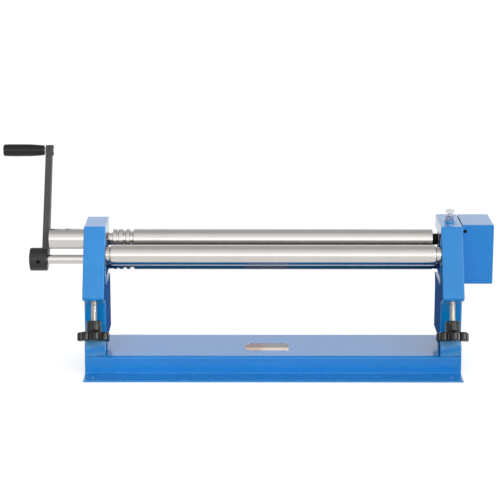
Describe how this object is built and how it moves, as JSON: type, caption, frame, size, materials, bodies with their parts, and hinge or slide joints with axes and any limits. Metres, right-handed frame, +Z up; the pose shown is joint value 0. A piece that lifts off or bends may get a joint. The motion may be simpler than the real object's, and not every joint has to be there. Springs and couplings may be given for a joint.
{
  "type": "slip roll machine",
  "caption": "Hand-cranked bench slip roll: geared feed rollers and an adjustable bending roller between cast end frames on a folded channel base.",
  "frame": {"origin": "on the bench, in the middle of the four bench bolt holes of the base", "axes": "+X along the rollers from the crank end towards the gear end, +Y away from the operator and the bending roller, +Z up from the bench"},
  "size_m": [0.9399, 0.2599, 0.4089],
  "materials": {
    "blue_paint": "gloss",
    "polished_steel": "polished",
    "machined_steel": "satin",
    "zinc_steel": "satin",
    "black_oxide_steel": "satin",
    "black_paint": "satin",
    "black_plastic": "gloss",
    "bronze": "satin",
    "plate_aluminium": "satin"
  },
  "bodies": {
    "root": {"base_channel": "blue_paint", "left_frame": "blue_paint", "right_frame": "blue_paint", "foot_bolts": "zinc_steel", "foot_washers": "zinc_steel", "upper_left_bush": "bronze", "upper_right_bush": "bronze", "lower_left_bush": "bronze", "lower_right_bush": "bronze", "gear_cover": "blue_paint", "gear_cover_screws": "black_oxide_steel", "clamp_locknut": "zinc_steel", "rating_plate": "plate_aluminium", "plate_rivets": "plate_aluminium"},
    "crank": {"lower_roller": "polished_steel", "drive_gear": "machined_steel", "drive_gear_key": "machined_steel", "drive_gear_washer": "zinc_steel", "drive_gear_screw": "zinc_steel", "crank_arm": "black_paint", "crank_set_screw": "black_oxide_steel", "handle_spindle": "machined_steel"},
    "grip": {"handle_grip": "black_plastic"},
    "upper_shaft": {"upper_roller": "polished_steel", "balance_sleeve": "polished_steel", "sleeve_grub_screw": "black_oxide_steel", "upper_gear": "machined_steel", "upper_gear_key": "machined_steel", "upper_gear_washer": "zinc_steel", "upper_gear_screw": "zinc_steel"},
    "bend_carriage": {"bend_left_block": "machined_steel", "bend_right_block": "machined_steel", "bend_left_bush": "machined_steel", "bend_right_bush": "machined_steel", "left_screw_pins": "machined_steel", "right_screw_pins": "machined_steel"},
    "bend_shaft": {"bend_roller": "polished_steel"},
    "left_knob": {"left_adjust_screw": "machined_steel", "left_star_knob": "black_plastic"},
    "right_knob": {"right_adjust_screw": "machined_steel", "right_star_knob": "black_plastic"},
    "clamp_shoe": {"clamp_pad": "bronze"},
    "clamp_screw": {"clamp_bolt": "zinc_steel"}
  },
  "joints": [
    {"name": "crank_turn", "type": "hinge", "parent": "root", "child": "crank", "pos_m": [0, 0.006, 0.206], "axis": [1, 0, 0], "continuous": true},
    {"name": "grip_spin", "type": "hinge", "parent": "crank", "child": "grip", "pos_m": [-0.4828, 0.11533, 0.39691], "axis": [1, 0, 0], "continuous": true},
    {"name": "upper_roller_turn", "type": "hinge", "parent": "root", "child": "upper_shaft", "pos_m": [0, 0.006, 0.246], "axis": [1, 0, 0], "continuous": true},
    {"name": "bend_roller_lift", "type": "slide", "parent": "root", "child": "bend_carriage", "axis": [0, 0.342, 0.9397], "range_m": [-0.003, 0.018]},
    {"name": "bend_roller_spin", "type": "hinge", "parent": "bend_carriage", "child": "bend_shaft", "pos_m": [0, -0.044, 0.2267], "axis": [1, 0, 0], "continuous": true},
    {"name": "left_knob_turn", "type": "hinge", "parent": "bend_carriage", "child": "left_knob", "pos_m": [-0.33575, -0.04776, 0.22807], "axis": [0, 0.342, 0.9397], "range_deg": [-620, 3710]},
    {"name": "right_knob_turn", "type": "hinge", "parent": "bend_carriage", "child": "right_knob", "pos_m": [0.33575, -0.04776, 0.22807], "axis": [0, 0.342, 0.9397], "range_deg": [-620, 3710]},
    {"name": "clamp_lift", "type": "slide", "parent": "root", "child": "clamp_shoe", "axis": [0, 0, 1], "range_m": [0, 0.003]},
    {"name": "clamp_turn", "type": "hinge", "parent": "clamp_shoe", "child": "clamp_screw", "pos_m": [0.33575, 0.006, 0.28], "axis": [0, 0, 1], "range_deg": [-1, 721]}
  ],
  "couplings": [
    {"joint": "upper_roller_turn", "follows": "crank_turn", "ratio": -1},
    {"joint": "left_knob_turn", "follows": "bend_roller_lift", "rad_per_m": 3590.4},
    {"joint": "right_knob_turn", "follows": "bend_roller_lift", "rad_per_m": 3590.4},
    {"joint": "clamp_turn", "follows": "clamp_lift", "rad_per_m": 4188.8}
  ]
}
